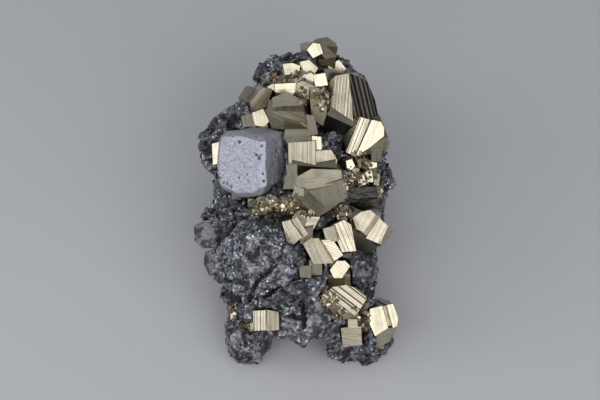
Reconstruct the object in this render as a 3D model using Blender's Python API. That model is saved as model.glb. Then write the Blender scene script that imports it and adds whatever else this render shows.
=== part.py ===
"""Galena specimen: a grey galena crystal and a band of brassy pyrite crystals on a dark, lumpy matrix.

The specimen lies on a flat, broken base with +Z up. Its long side runs along Y, and its display side is
seen from the front (-Y) and above. Every crystal face is given as it shows from there: its outline in
picture pixels, how far it stands out from the general surface and which way it is turned.
"""

import math
import random
from collections import namedtuple

import bmesh
import bpy
from mathutils import Matrix, Vector, noise

MM = 0.001

# The line of sight to the display side
SIGHT_ELEVATION = math.radians(55.0)
SIGHT_DISTANCE = 323.4 * MM
SIGHT_FOCAL_PIXELS = 1540.0
SIGHT_MIDDLE = (300.0, 200.0)
SIGHT_TARGET = Vector((0.0, 0.0, 18.0 * MM))
TO_RIGHT = Vector((1.0, 0.0, 0.0))
TO_TOP = Vector((0.0, math.sin(SIGHT_ELEVATION), math.cos(SIGHT_ELEVATION)))
TO_VIEWER = Vector((0.0, -math.cos(SIGHT_ELEVATION), math.sin(SIGHT_ELEVATION)))
EYE = SIGHT_TARGET + TO_VIEWER * SIGHT_DISTANCE

# Fits between pieces that have grown against each other
GAP = 0.3 * MM
FACE_CLEARANCE = 2.5 * MM
CRYSTAL_DEPTH = 5.0
LONGEST_CRYSTAL = 40.0 * MM
SMALLEST_BODY = 2.0 * MM

# The rough masses
VOXEL = 0.8 * MM
ROUGHNESS = 0.6 * MM
ROUGHNESS_SCALE = 3.2 * MM
MATRIX_TRIANGLES = 1800
ETCHED_TRIANGLES = 820
ETCHED_CLEARANCE = 0.6 * MM
LUMP_SINK = 0.6
SIDE_LUMPS = 90
SIDE_LUMP_RADII = (1.8 * MM, 4.0 * MM)
SIDE_LUMP_FACING = 0.15
SIDE_LUMP_HEIGHT = 2.5 * MM
BLOCK = 200.0 * MM

# The display side, by picture row: height of its middle line, and pixels where its outline starts and ends
RIDGE = (
    (38, 33.0), (60, 33.5), (90, 33.0), (130, 32.0), (165, 31.0), (200, 29.0),
    (240, 26.0), (280, 20.5), (310, 15.0), (340, 9.5), (372, 1.5),
)
OUTLINE_LEFT = (
    (38, 306), (50, 292), (60, 268), (75, 251), (100, 238), (125, 213), (150, 196), (165, 199), (185, 212),
    (205, 210), (225, 193), (245, 194), (262, 203), (290, 218), (315, 228), (345, 230), (368, 243),
)
OUTLINE_RIGHT = (
    (38, 330), (55, 344), (80, 366), (110, 377), (150, 389), (180, 393), (205, 380), (230, 392),
    (250, 380), (270, 378), (300, 381), (315, 397), (335, 395), (350, 386), (368, 376),
)
EDGE_DROP = 11.0

Face = namedtuple("Face", "outline lift turn nod depth", defaults=(CRYSTAL_DEPTH,))
Lump = namedtuple("Lump", "seen radius lift", defaults=(0.0,))
Core = namedtuple("Core", "place radii")
Finish = namedtuple("Finish", "colour metallic roughness transmission", defaults=(0.0,))

FINISHES = {
    "matrix": Finish((0.055, 0.056, 0.062), 0.35, 0.55),
    "galena": Finish((0.33, 0.335, 0.37), 0.85, 0.42),
    "etched_galena": Finish((0.2, 0.203, 0.215), 0.6, 0.5),
    "pyrite": Finish((0.62, 0.54, 0.36), 1.0, 0.25),
    "quartz": Finish((0.62, 0.6, 0.58), 0.0, 0.18, 0.85),
    "sphalerite": Finish((0.05, 0.034, 0.018), 0.1, 0.22),
}

GALENA_BLOCK = Face(
    (
        (220, 132), (240, 131), (263, 137), (264, 191), (255, 198),
        (236, 198), (217, 188), (214, 166), (216, 143),
    ),
    10.5, -33, -7, 10.5,
)
GALENA_EDGE = 1.0 * MM

# Faces of the pyrite crystals, by the place where they grow: outline, lift, turn to the right, nod up, depth
PYRITE = {
    "band": (
        Face(
            ((297, 177), (311, 169), (341, 170), (342, 178), (334, 184), (319, 188), (303, 190), (295, 184)),
            5.5, 0, 18, 8.0,
        ),
        Face(
            ((303, 190), (341, 180), (346, 185), (347, 197), (330, 210), (318, 217), (303, 201)),
            5.2, 5, -28, 8.0,
        ),
        Face(((295, 184), (304, 189), (304, 201), (292, 198)), 4.6, -42, -8),
        Face(((292, 198), (303, 200), (318, 217), (311, 220), (297, 208)), 4.2, -35, -42),
        Face(((288, 143), (315, 141), (316, 167), (289, 166)), 3.9, -8, -8, 6.0),
        Face(((283, 137), (310, 136), (316, 142), (288, 144)), 3.8, 0, 30),
        Face(((285, 129), (309, 129), (311, 137), (284, 138)), 3.3, 0, 5),
        Face(((315, 151), (331, 150), (337, 160), (335, 170), (315, 168)), 4.1, 20, -10),
        Face(((312, 136), (321, 137), (322, 151), (312, 152)), 3.9, 15, 0),
        Face(((292, 165), (336, 168), (330, 175), (300, 174)), 2.6, 0, -45, 4.0),
        Face(((286, 165), (297, 164), (297, 176), (287, 177)), 3.2, -4, 8),
        Face(((286, 175), (298, 175), (296, 189), (283, 189)), 2.9, -20, -15),
    ),
    "upper_band": (
        Face(((272, 98), (286, 92), (300, 99), (303, 112), (292, 118), (273, 112)), 4.2, 5, 12, 6.0),
        Face(
            ((266, 112), (282, 111), (303, 112), (309, 128), (295, 134), (272, 129)),
            3.7, -5, -28, 6.0,
        ),
        Face(((275, 84), (296, 83), (298, 92), (288, 97), (275, 92)), 3.2, 5, -10),
        Face(((267, 87), (276, 82), (277, 92)), 2.6, -30, 0),
        Face(((274, 79), (295, 78), (297, 84), (275, 85)), 2.7, 0, 38),
        Face(((246, 86), (263, 88), (251, 104), (238, 98)), 3.6, -12, 20),
        Face(((250, 103), (263, 88), (273, 89), (266, 107), (252, 112)), 2.9, 10, -15),
        Face(((252, 113), (263, 109), (269, 121), (264, 128), (255, 125)), 3.2, -18, 0),
        Face(((241, 116), (253, 114), (255, 126), (243, 128)), 2.6, -8, 10),
        Face(((284, 120), (300, 124), (312, 131), (286, 133)), 3.0, 0, -38),
        Face(((303, 114), (314, 116), (318, 134), (307, 136)), 2.6, 6, 14),
    ),
    "summit": (
        Face(((307, 50), (313, 43), (320, 44), (323, 53), (313, 58)), 5.4, -12, -6),
        Face(((320, 43), (327, 41), (338, 47), (336, 57), (325, 59), (321, 53)), 8.6, 32, -4, 8.0),
        Face(((310, 44), (316, 39), (327, 37), (336, 43), (337, 47), (320, 46)), 8.4, 5, 48, 8.0),
        Face(((300, 44), (309, 42), (310, 51), (301, 52)), 3.4, -22, 20),
        Face(((328, 66), (339, 60), (346, 69), (341, 76), (331, 74)), 3.0, 18, -10),
        Face(((318, 55), (328, 57), (333, 66), (320, 66)), 3.0, 5, -35),
    ),
    "upper": (
        Face(((283, 64), (292, 63), (300, 66), (299, 73), (285, 75)), 2.6, -13, -3),
        Face(((299, 79), (304, 75), (311, 73), (316, 77), (312, 85), (302, 85)), 3.2, 0, -15),
        Face(((314, 75), (325, 73), (328, 85), (315, 87)), 4.0, 15, -5),
        Face(((324, 69), (335, 69), (337, 79), (326, 80)), 3.0, 25, 8),
        Face(((297, 83), (303, 81), (314, 86), (312, 97), (303, 102), (296, 93)), 3.2, -14, -14),
        Face(((310, 87), (319, 88), (321, 99), (312, 103)), 3.4, 22, 6),
        Face(((310, 99), (321, 98), (327, 112), (323, 126), (312, 119)), 2.9, 0, -25),
        Face(((300, 62), (309, 60), (318, 68), (314, 75), (304, 72)), 2.9, 14, -5),
    ),
    "blade": (
        Face(((335, 76), (351, 73), (353, 128), (329, 116)), 6.2, -12, -5, 8.0),
        Face(((350, 73), (367, 81), (375, 100), (379, 119), (353, 128)), 13.0, 36, -5, 13.0),
        Face(((325, 84), (336, 76), (331, 117), (323, 111)), 2.9, -45, 0),
        Face(((327, 115), (353, 127), (348, 134), (319, 130)), 1.8, -28, -45, 4.0),
    ),
    "right_upper": (
        Face(((360, 117), (370, 120), (354, 156), (346, 152)), 6.4, 12, -5, 7.0),
        Face(((368, 119), (374, 121), (359, 156), (352, 154)), 6.4, 6, -4, 6.0),
        Face(
            ((372, 120), (381, 122), (384, 128), (384, 136), (369, 148), (356, 156)),
            10.2, 14, -6, 10.0,
        ),
        Face(((384, 135), (389, 138), (373, 153), (358, 157), (356, 154), (369, 147)), 7.4, 18, -44, 7.0),
        Face(((341, 135), (350, 129), (359, 118), (347, 152)), 5.4, -45, 0),
        Face(((381, 140), (390, 141), (388, 150), (380, 151)), 3.0, 28, -20),
        Face(((371, 149), (383, 148), (381, 162), (371, 162)), 3.7, 18, -20),
    ),
    "right": (
        Face(((346, 161), (352, 159), (355, 166), (351, 170), (347, 168)), 4.2, 14, -6),
        Face(((357, 160), (366, 159), (368, 166), (359, 168)), 3.6, 10, 14),
        Face(((369, 162), (377, 163), (376, 171), (369, 172)), 3.7, 14, -5),
        Face(((366, 172), (372, 171), (373, 181), (367, 182)), 4.1, 14, -6),
        Face(((373, 173), (380, 174), (379, 184), (374, 185)), 3.4, 25, 0),
        Face(((357, 176), (364, 175), (366, 184), (359, 187)), 3.9, -14, -4),
        Face(((343, 173), (350, 172), (352, 182), (344, 184)), 3.6, -16, 8),
        Face(((352, 168), (359, 168), (360, 177), (353, 178)), 3.5, 20, 8),
        Face(((371, 188), (380, 188), (379, 200), (371, 199)), 3.0, 20, -15),
    ),
    "right_middle": (
        Face(
            ((353, 218), (361, 212), (370, 210), (376, 215), (364, 232), (356, 229)),
            7.0, -13, -2, 7.0,
        ),
        Face(((371, 211), (381, 218), (368, 237), (360, 231)), 6.9, 2, 0, 7.0),
        Face(((379, 218), (388, 226), (380, 244), (366, 238)), 8.5, 14, -5, 8.0),
        Face(((388, 226), (394, 231), (381, 247), (379, 243)), 10.2, 45, -15, 8.0),
        Face(((350, 230), (366, 237), (381, 243), (370, 254), (355, 249)), 7.0, 0, -46, 7.0),
    ),
    "middle": (
        Face(((331, 226), (344, 220), (351, 225), (356, 251), (342, 252)), 5.0, 4, -5, 7.0),
        Face(((323, 229), (334, 226), (338, 241), (326, 242)), 4.1, -18, -10),
        Face(((303, 244), (310, 239), (318, 238), (333, 263), (314, 264)), 4.3, -8, -15, 6.0),
        Face(((321, 240), (333, 240), (343, 255), (331, 263)), 4.6, 12, -10),
        Face(((329, 256), (338, 256), (339, 267), (330, 267)), 3.8, 8, -32),
        Face(((330, 270), (337, 261), (345, 261), (350, 266), (342, 278), (334, 278)), 4.2, 0, -10),
        Face(((309, 260), (322, 261), (322, 275), (309, 275)), 3.3, -5, -38),
        Face(((299, 266), (311, 266), (311, 278), (300, 277)), 2.8, -10, -32),
        Face(((327, 275), (350, 274), (351, 289), (329, 289)), 3.2, 0, -42),
        Face(((282, 222), (290, 220), (302, 237), (293, 245), (287, 243)), 3.6, -15, -10),
        Face(((290, 220), (297, 217), (308, 234), (301, 239)), 3.3, 5, 0),
        Face(((292, 217), (298, 211), (304, 210), (307, 221), (302, 232)), 3.2, -5, 10),
        Face(((304, 216), (320, 217), (312, 232), (304, 233)), 2.9, 10, -10),
        Face(((299, 229), (313, 228), (312, 244), (300, 244)), 2.9, -5, -25),
    ),
    "lower": (
        Face(
            (
                (321, 296), (333, 287), (346, 285), (356, 288), (364, 294),
                (368, 301), (359, 311), (356, 316), (340, 309),
            ),
            6.2, 12, -5, 8.0,
        ),
        Face(((341, 309), (357, 308), (359, 319), (343, 319)), 4.2, -5, -42),
        Face(((321, 296), (340, 308), (343, 315), (325, 306)), 3.2, -25, -40),
    ),
    "foot": (
        Face(((370, 309), (382, 306), (388, 328), (375, 336), (369, 322)), 6.8, 14, -5, 7.0),
        Face(((380, 307), (389, 305), (394, 329), (386, 330)), 7.9, 14, -5, 8.0),
        Face(((387, 305), (393, 304), (398, 318), (397, 326), (393, 328)), 10.0, 14, -5, 9.0),
        Face(((375, 335), (387, 328), (396, 328), (390, 341), (380, 347)), 9.2, 10, -42, 8.0),
        Face(((357, 308), (371, 306), (370, 323), (375, 334), (360, 331)), 4.8, -42, -8),
        Face(((362, 339), (385, 339), (384, 349), (364, 349)), 3.9, 0, -28),
        Face(((348, 319), (357, 319), (358, 329), (348, 329)), 3.6, -13, -3),
        Face(((341, 328), (361, 326), (362, 345), (343, 347)), 4.2, -10, -14),
    ),
    "lower_left": (
        Face(((253, 311), (268, 310), (268, 330), (254, 331)), 4.4, -13, -4),
        Face(((267, 310), (279, 312), (279, 330), (267, 331)), 3.0, 22, -10),
        Face(((244, 321), (253, 322), (253, 332), (245, 332)), 4.6, -14, -4),
    ),
    "left_edge": (
        Face(((230, 309), (240, 308), (240, 319), (231, 320)), 2.8, -20, 0),
    ),
    "beside_galena": (
        Face(((212, 144), (219, 142), (219, 163), (213, 165)), 3.4, -25, 0),
    ),
    "below_galena": (
        Face(((231, 189), (241, 189), (241, 200), (232, 199)), 2.6, -10, -28),
        Face(((248, 196), (254, 196), (254, 208), (248, 207)), 2.2, 5, -20),
    ),
}

# Patches of small pyrite crystals: middle pixel, half-width, half-height, count
DRUSE = (
    ((322, 97), 6, 7, 3),
    ((272, 204), 22, 6, 10),
    ((342, 212), 6, 5, 3),
)
DRUSE_EDGE = (0.9 * MM, 1.7 * MM)
DRUSE_LIFT = 1.6
GOLDEN_ANGLE = 2.4

QUARTZ = {
    "quartz_crystal_upper": (
        Face(
            ((193, 226), (200, 222), (209, 222), (217, 232), (216, 246), (202, 249), (194, 241)),
            1.2, -25, 0,
        ),
    ),
    "quartz_crystal_lower": (
        Face(((204, 252), (216, 249), (222, 260), (219, 274), (209, 277), (203, 264)), 1.6, -28, -8),
    ),
}

SPHALERITE = (
    Face(((350, 187), (377, 187), (378, 201), (350, 202)), 2.6, 14, 6, 6.0),
    Face(((350, 200), (378, 199), (377, 217), (352, 218)), 2.8, 8, -24, 6.0),
)

ETCHED_LUMPS = (
    Lump((240, 238), 3.8, 0.8), Lump((258, 238), 4.4, 1.2), Lump((278, 246), 4.4, 1.2),
    Lump((290, 262), 3.6, 0.6), Lump((234, 259), 4.2, 0.8), Lump((256, 262), 5.0, 1.6),
    Lump((274, 268), 4.0, 1.0), Lump((240, 276), 3.8, 0.8), Lump((226, 272), 3.0, 0.4),
    Lump((260, 281), 3.2, 0.8),
)

MATRIX_LUMPS = (
    # Crust along the upper left edge
    Lump((261, 79), 2.1), Lump((266, 71), 2.2), Lump((277, 65), 2.2), Lump((289, 62), 2.2),
    Lump((300, 61), 2.2), Lump((272, 80), 2.4), Lump((284, 72), 2.4),
    # Under and beside the summit
    Lump((315, 66), 3.0), Lump((328, 62), 2.6), Lump((338, 67), 2.4), Lump((346, 72), 2.4),
    Lump((355, 82), 2.4, -1.0), Lump((304, 70), 2.6), Lump((292, 82), 2.6),
    # Knobs down the left edge
    Lump((246, 108), 2.2), Lump((237, 114), 2.3), Lump((222, 125), 2.3), Lump((213, 134), 2.0),
    Lump((208, 142), 2.2), Lump((206, 153), 2.2), Lump((209, 162), 2.0), Lump((226, 140), 3.0),
    Lump((222, 176), 2.2), Lump((226, 192), 2.2), Lump((231, 203), 2.4), Lump((209, 218), 2.2),
    Lump((226, 216), 2.4), Lump((243, 213), 2.4), Lump((217, 230), 2.4, -1.0), Lump((222, 246), 2.4),
    # Right edge, with one round knob
    Lump((372, 130), 2.2, -1.5), Lump((378, 151), 2.0, -0.5), Lump((385, 172), 1.9, 1.0),
    Lump((385, 182), 1.9, 1.0), Lump((373, 166), 2.2), Lump((370, 205), 2.2, -1.0),
    Lump((371, 222), 2.2, -1.0),
    Lump((360, 259), 2.6), Lump((365, 271), 2.5), Lump((369, 283), 2.4),
    Lump((361, 291), 2.4), Lump((354, 272), 3.0),
    # Dark hollows between the crystals of the band
    Lump((330, 141), 2.6), Lump((340, 152), 2.6), Lump((336, 130), 2.6), Lump((325, 222), 2.4),
    Lump((338, 210), 2.4), Lump((276, 198), 3.0), Lump((262, 216), 3.0), Lump((290, 206), 3.0),
    Lump((318, 98), 3.0), Lump((306, 256), 2.6), Lump((284, 150), 3.0),
    # The lower front
    Lump((231, 295), 2.6), Lump((243, 303), 2.8), Lump((238, 313), 2.4), Lump((258, 299), 3.0),
    Lump((272, 296), 3.0), Lump((290, 286), 3.2), Lump((300, 296), 3.0), Lump((316, 284), 2.8),
    Lump((311, 304), 3.0, 0.5), Lump((314, 325), 3.0, 1.0), Lump((296, 322), 3.0), Lump((285, 308), 3.0),
    Lump((281, 330), 2.4), Lump((301, 336), 2.4), Lump((326, 318), 3.0), Lump((333, 331), 3.0),
    Lump((345, 322), 2.6), Lump((268, 322), 3.0),
    # The left foot
    Lump((240, 336), 2.8), Lump((242, 349), 2.8), Lump((250, 356), 2.6), Lump((261, 345), 2.4),
    Lump((255, 336), 3.0), Lump((237, 326), 2.4),
    # The right foot
    Lump((355, 349), 2.8), Lump((366, 355), 2.8), Lump((375, 349), 2.6), Lump((383, 340), 2.4),
    Lump((372, 342), 3.0), Lump((337, 349), 2.4), Lump((347, 353), 2.4),
)

# The bulk of the matrix behind the display side, in millimetres
MATRIX_CORES = (
    Core((0.0, 4.0, 14.0), (18.5, 26.0, 16.0)),
    Core((1.0, 17.0, 17.0), (15.0, 14.0, 14.5)),
    Core((3.0, 23.0, 21.0), (9.0, 8.0, 11.0)),
    Core((0.0, -14.0, 15.5), (16.0, 9.5, 9.5)),
    Core((0.0, 6.0, 4.0), (16.0, 20.0, 7.0)),
    Core((-11.0, -25.0, 4.5), (4.6, 6.0, 7.5)),
    Core((13.5, -24.0, 5.5), (5.6, 6.0, 8.5)),
)

# The first cores, without the feet, carry the knobs of the hidden sides
SIDE_CORES = 5

SEED = 11


def clear_scene():
    for thing in list(bpy.data.objects):
        bpy.data.objects.remove(thing, do_unlink=True)


def between(table, row):
    """The value that a table of (picture row, value) gives at any row."""
    if row <= table[0][0]:
        return table[0][1]
    for (above, first), (below, second) in zip(table, table[1:]):
        if row <= below:
            return first + (second - first) * (row - above) / (below - above)
    return table[-1][1]


def line_of_sight(pixel):
    """Direction from the eye through a pixel of the picture."""
    right = (pixel[0] - SIGHT_MIDDLE[0]) / SIGHT_FOCAL_PIXELS
    down = (pixel[1] - SIGHT_MIDDLE[1]) / SIGHT_FOCAL_PIXELS
    return TO_RIGHT * right - TO_TOP * down - TO_VIEWER


def surface_point(pixel, lift):
    """The point of the general surface that shows at a pixel, moved towards the eye by lift millimetres."""
    left = between(OUTLINE_LEFT, pixel[1])
    right = between(OUTLINE_RIGHT, pixel[1])
    reach = (2 * pixel[0] - left - right) / (right - left)
    height = (between(RIDGE, pixel[1]) - EDGE_DROP * min(reach * reach, 1.3)) * MM
    sight = line_of_sight(pixel)
    point = EYE + sight * ((max(height, 1.5 * MM) - EYE.z) / sight.z)
    return point - sight.normalized() * lift * MM


def face_normal(turn, nod):
    turn = math.radians(turn)
    nod = math.radians(nod)
    level = TO_VIEWER * math.cos(turn) + TO_RIGHT * math.sin(turn)
    return level * math.cos(nod) + TO_TOP * math.sin(nod)


def corners_on_plane(outline, point, normal):
    """Where the lines of sight through the pixels of an outline meet a plane."""
    sights = [line_of_sight(pixel) for pixel in outline]
    return [EYE + sight * ((point - EYE).dot(normal) / sight.dot(normal)) for sight in sights]


def face_corners(face):
    """The corners of a face in space. Its nearest corner to the eye stands out by the face's lift."""
    count = len(face.outline)
    middle = [sum(corner[axis] for corner in face.outline) / count for axis in (0, 1)]
    centre = surface_point(middle, face.lift)
    normal = face_normal(face.turn, face.nod)
    corners = corners_on_plane(face.outline, centre, normal)
    nearest = max((corner - centre).dot(TO_VIEWER) for corner in corners)
    return corners_on_plane(face.outline, centre - TO_VIEWER * nearest, normal), normal


def crystal_planes(face, grow, clearance):
    """The planes round a crystal that has this face: the face, a side behind each edge, and the back."""
    corners, normal = face_corners(face)
    centre = sum(corners, Vector()) / len(corners)
    planes = [(centre + normal * (grow + clearance), normal)]
    planes.append((centre - normal * (face.depth * MM + grow), -normal))
    for start, end in zip(corners, corners[1:] + corners[:1]):
        outward = (end - start).cross(normal).normalized()
        if outward.dot(start - centre) < 0:
            outward.negate()
        planes.append((start + outward * grow, outward))
    return centre, planes


def carve(bm, planes):
    """Cuts away everything on the outer side of each plane and closes the cut."""
    for point, outward in planes:
        geometry = bm.verts[:] + bm.edges[:] + bm.faces[:]
        cut = bmesh.ops.bisect_plane(
            bm, geom=geometry, dist=1e-7, plane_co=point, plane_no=outward, clear_outer=True
        )
        rim = [item for item in cut["geom_cut"] if isinstance(item, bmesh.types.BMEdge)]
        if rim:
            bmesh.ops.edgeloop_fill(bm, edges=rim)
    bmesh.ops.recalc_face_normals(bm, faces=bm.faces[:])


def new_object(name, bm):
    mesh = bpy.data.meshes.new(name)
    bm.to_mesh(mesh)
    bm.free()
    thing = bpy.data.objects.new(name, mesh)
    bpy.context.scene.collection.objects.link(thing)
    return thing


def crystal_body(name, face, grow=0.0, clearance=0.0):
    centre, planes = crystal_planes(face, grow, clearance)
    bm = bmesh.new()
    bmesh.ops.create_cube(bm, size=LONGEST_CRYSTAL, matrix=Matrix.Translation(centre))
    carve(bm, planes)
    return new_object(name, bm)


def bake(thing):
    """Replaces an object's mesh with what its modifiers make of it."""
    bpy.context.view_layer.update()
    graph = bpy.context.evaluated_depsgraph_get()
    mesh = bpy.data.meshes.new_from_object(thing.evaluated_get(graph))
    thing.modifiers.clear()
    thing.data = mesh
    return thing


def combine(thing, others, operation):
    """Joins the others to an object, or cuts them from it, and removes them."""
    group = bpy.data.collections.new("operands")
    for other in others:
        group.objects.link(other)
    boolean = thing.modifiers.new(operation.lower(), "BOOLEAN")
    boolean.operation = operation
    boolean.operand_type = "COLLECTION"
    boolean.collection = group
    boolean.solver = "EXACT"
    boolean.use_self = True
    bake(thing)
    for other in others:
        bpy.data.objects.remove(other, do_unlink=True)
    bpy.data.collections.remove(group)
    return thing


def loose_bodies(bm):
    """Lists of the faces of each separate body."""
    waiting = set(bm.faces)
    bodies = []
    while waiting:
        reached = [waiting.pop()]
        for face in reached:
            for edge in face.edges:
                for beyond in edge.link_faces:
                    if beyond in waiting:
                        waiting.remove(beyond)
                        reached.append(beyond)
        bodies.append(reached)
    return sorted(bodies, key=len, reverse=True)


def keep_largest(thing):
    """Drops the crumbs that a cut left beside the main body."""
    bm = bmesh.new()
    bm.from_mesh(thing.data)
    for crumb in loose_bodies(bm)[1:]:
        bmesh.ops.delete(bm, geom=crumb, context="FACES")
    bm.to_mesh(thing.data)
    bm.free()
    return thing


def span(faces):
    corners = [vertex.co for face in faces for vertex in face.verts]
    columns = [[corner[axis] for corner in corners] for axis in range(3)]
    return max(max(column) - min(column) for column in columns)


def add_ball(bm, centre, radii):
    placed = Matrix.Translation(centre) @ Matrix.Diagonal((*radii, 1.0))
    bmesh.ops.create_icosphere(bm, subdivisions=3, radius=1.0, matrix=placed)


def roughen(thing):
    """Raises knobs and sinks pits all over a mass."""
    mesh = thing.data
    for vertex in mesh.vertices:
        place = vertex.co / ROUGHNESS_SCALE
        height = noise.noise(place) + 0.6 * noise.noise(place * 2.3) + 0.35 * abs(noise.noise(place * 4.6))
        vertex.co += vertex.normal * height * ROUGHNESS
    mesh.update()
    return thing


def mass(name, bm, triangles):
    """One closed, rough body from overlapping balls."""
    thing = new_object(name, bm)
    remesh = thing.modifiers.new("one skin", "REMESH")
    remesh.mode = "VOXEL"
    remesh.voxel_size = VOXEL
    roughen(bake(thing))
    decimate = thing.modifiers.new("fewer faces", "DECIMATE")
    decimate.ratio = triangles / (2.0 * len(thing.data.polygons))
    return keep_largest(bake(thing))


def lump_mass(name, lumps, grow, triangles):
    bm = bmesh.new()
    for lump in lumps:
        radius = lump.radius * MM + grow
        add_ball(bm, surface_point(lump.seen, lump.lift), (radius, radius, radius))
    return mass(name, bm, triangles)


def picture_place(point):
    """The pixel at which a point shows, and how many pixels a metre spans there."""
    offset = point - SIGHT_TARGET
    scale = SIGHT_FOCAL_PIXELS / (SIGHT_DISTANCE - offset.dot(TO_VIEWER))
    column = SIGHT_MIDDLE[0] + offset.dot(TO_RIGHT) * scale
    return (column, SIGHT_MIDDLE[1] - offset.dot(TO_TOP) * scale), scale


def inside_outline(point, radius):
    """Whether a ball stays inside the outline of the display side."""
    (column, row), scale = picture_place(point)
    reach = radius * scale
    if row - reach < OUTLINE_LEFT[0][0] + 10 or row + reach > OUTLINE_LEFT[-1][0]:
        return False
    rows = (row - 0.7 * reach, row, row + 0.7 * reach)
    left = max(between(OUTLINE_LEFT, at) for at in rows)
    right = min(between(OUTLINE_RIGHT, at) for at in rows)
    return left < column - reach and column + reach < right


def add_side_lumps(bm):
    """Knobs over the back, the sides and the lower parts, which the display view doesn't show."""
    chance = random.Random(SEED)
    made = 0
    while made < SIDE_LUMPS:
        core = MATRIX_CORES[made % SIDE_CORES]
        way = Vector((chance.gauss(0, 1), chance.gauss(0, 1), chance.gauss(0, 1))).normalized()
        point = Vector([core.place[axis] + core.radii[axis] * way[axis] for axis in range(3)]) * MM
        radius = chance.uniform(*SIDE_LUMP_RADII)
        shows = way.dot(TO_VIEWER) > SIDE_LUMP_FACING
        if shows or point.z < SIDE_LUMP_HEIGHT or not inside_outline(point, radius):
            continue
        add_ball(bm, point, (radius, radius, radius))
        made += 1


def build_matrix():
    bm = bmesh.new()
    for core in MATRIX_CORES:
        add_ball(bm, Vector(core.place) * MM, [radius * MM for radius in core.radii])
    for lump in MATRIX_LUMPS:
        radius = lump.radius * MM
        middle = surface_point(lump.seen, lump.lift - LUMP_SINK * lump.radius)
        add_ball(bm, middle, (radius, radius, radius))
    add_side_lumps(bm)
    return mass("matrix", bm, MATRIX_TRIANGLES)


def ground_block():
    """A block from z = 0 down, to cut the flat base."""
    bm = bmesh.new()
    bmesh.ops.create_cube(bm, size=BLOCK, matrix=Matrix.Translation((0.0, 0.0, -BLOCK / 2)))
    return new_object("ground", bm)


def build_galena():
    """A cube-shaped crystal with blunt edges."""
    crystal = crystal_body("galena_crystal", GALENA_BLOCK)
    bevel = crystal.modifiers.new("blunt edges", "BEVEL")
    bevel.width = GALENA_EDGE
    bevel.segments = 1
    bevel.limit_method = "ANGLE"
    return bake(crystal)


def druse_cubes():
    """Small cubes, each with its place, edge and turn, crowded in patches."""
    chance = random.Random(SEED)
    for middle, half_width, half_height, count in DRUSE:
        for index in range(count):
            angle = GOLDEN_ANGLE * index
            reach = math.sqrt((index + 0.5) / count)
            column = middle[0] + half_width * reach * math.cos(angle)
            row = middle[1] + half_height * reach * math.sin(angle)
            axis = Vector((chance.random(), chance.random(), 1.0))
            turn = Matrix.Rotation(chance.uniform(0.0, math.pi), 4, axis)
            yield surface_point((column, row), DRUSE_LIFT), chance.uniform(*DRUSE_EDGE), turn


def druse_bodies(grow):
    bodies = []
    for place, edge, turn in druse_cubes():
        bm = bmesh.new()
        bmesh.ops.create_cube(bm, size=edge + 2 * grow, matrix=Matrix.Translation(place) @ turn)
        bodies.append(new_object("druse", bm))
    return bodies


def pyrite_bodies(grow=0.0, clearance=0.0):
    return [crystal_body("pyrite", face, grow, clearance) for faces in PYRITE.values() for face in faces]


def distance_to(faces, point):
    return min((vertex.co - point).length for face in faces for vertex in face.verts)


def body_names(bodies):
    """A name for each body, after the first place in the table whose crystals are in it."""
    names = {}
    for place, crystals in PYRITE.items():
        for crystal in crystals:
            corners, normal = face_corners(crystal)
            nearest = min(range(len(bodies)), key=lambda index: distance_to(bodies[index], corners[0]))
            names.setdefault(nearest, place)
    numbered = []
    for index in range(len(bodies)):
        place = names.get(index, "druse")
        numbered.append(place)
        count = numbered.count(place)
        names[index] = f"pyrite_{place}" if count == 1 else f"pyrite_{place}_{count}"
    return names


def split_pyrite(everything):
    """One object for each solid of pyrite that has grown together."""
    source = bmesh.new()
    source.from_mesh(everything.data)
    bodies = [body for body in loose_bodies(source) if span(body) > SMALLEST_BODY]
    names = body_names(bodies)
    pieces = []
    for index, body in enumerate(bodies):
        copy = bmesh.new()
        matching = {}
        for face in body:
            for vertex in face.verts:
                if vertex not in matching:
                    matching[vertex] = copy.verts.new(vertex.co)
            copy.faces.new([matching[vertex] for vertex in face.verts])
        pieces.append(new_object(names[index], copy))
    source.free()
    bpy.data.objects.remove(everything, do_unlink=True)
    return pieces


def build_pyrite():
    crystals = pyrite_bodies() + druse_bodies(0.0)
    everything = combine(crystals[0], crystals[1:], "UNION")
    combine(everything, [crystal_body("galena", GALENA_BLOCK, GAP)], "DIFFERENCE")
    return split_pyrite(everything)


def build_quartz():
    crystals = []
    for name, faces in QUARTZ.items():
        crystals.append(crystal_body(name, faces[0]))
    return crystals


def build_sphalerite():
    bodies = [crystal_body("sphalerite_crystal", face) for face in SPHALERITE]
    combine(bodies[0], bodies[1:], "UNION")
    return keep_largest(combine(bodies[0], pyrite_bodies(GAP), "DIFFERENCE"))


def crystal_hollows():
    """Grown copies of all crystals, whose room the rough masses leave free."""
    bodies = pyrite_bodies(GAP, FACE_CLEARANCE) + druse_bodies(GAP)
    bodies.append(crystal_body("hollow", GALENA_BLOCK, GAP, FACE_CLEARANCE))
    for faces in QUARTZ.values():
        bodies.append(crystal_body("hollow", faces[0], GAP, FACE_CLEARANCE))
    return bodies


def finish_material(name):
    finish = FINISHES[name]
    material = bpy.data.materials.new(name)
    material.use_nodes = True
    shader = material.node_tree.nodes["Principled BSDF"]
    shader.inputs["Base Color"].default_value = (*finish.colour, 1.0)
    shader.inputs["Metallic"].default_value = finish.metallic
    shader.inputs["Roughness"].default_value = finish.roughness
    shader.inputs["Transmission Weight"].default_value = finish.transmission
    material.diffuse_color = (*finish.colour, 1.0)
    return material


def give_material(things, name):
    material = finish_material(name)
    for thing in things:
        thing.data.materials.clear()
        thing.data.materials.append(material)


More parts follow.
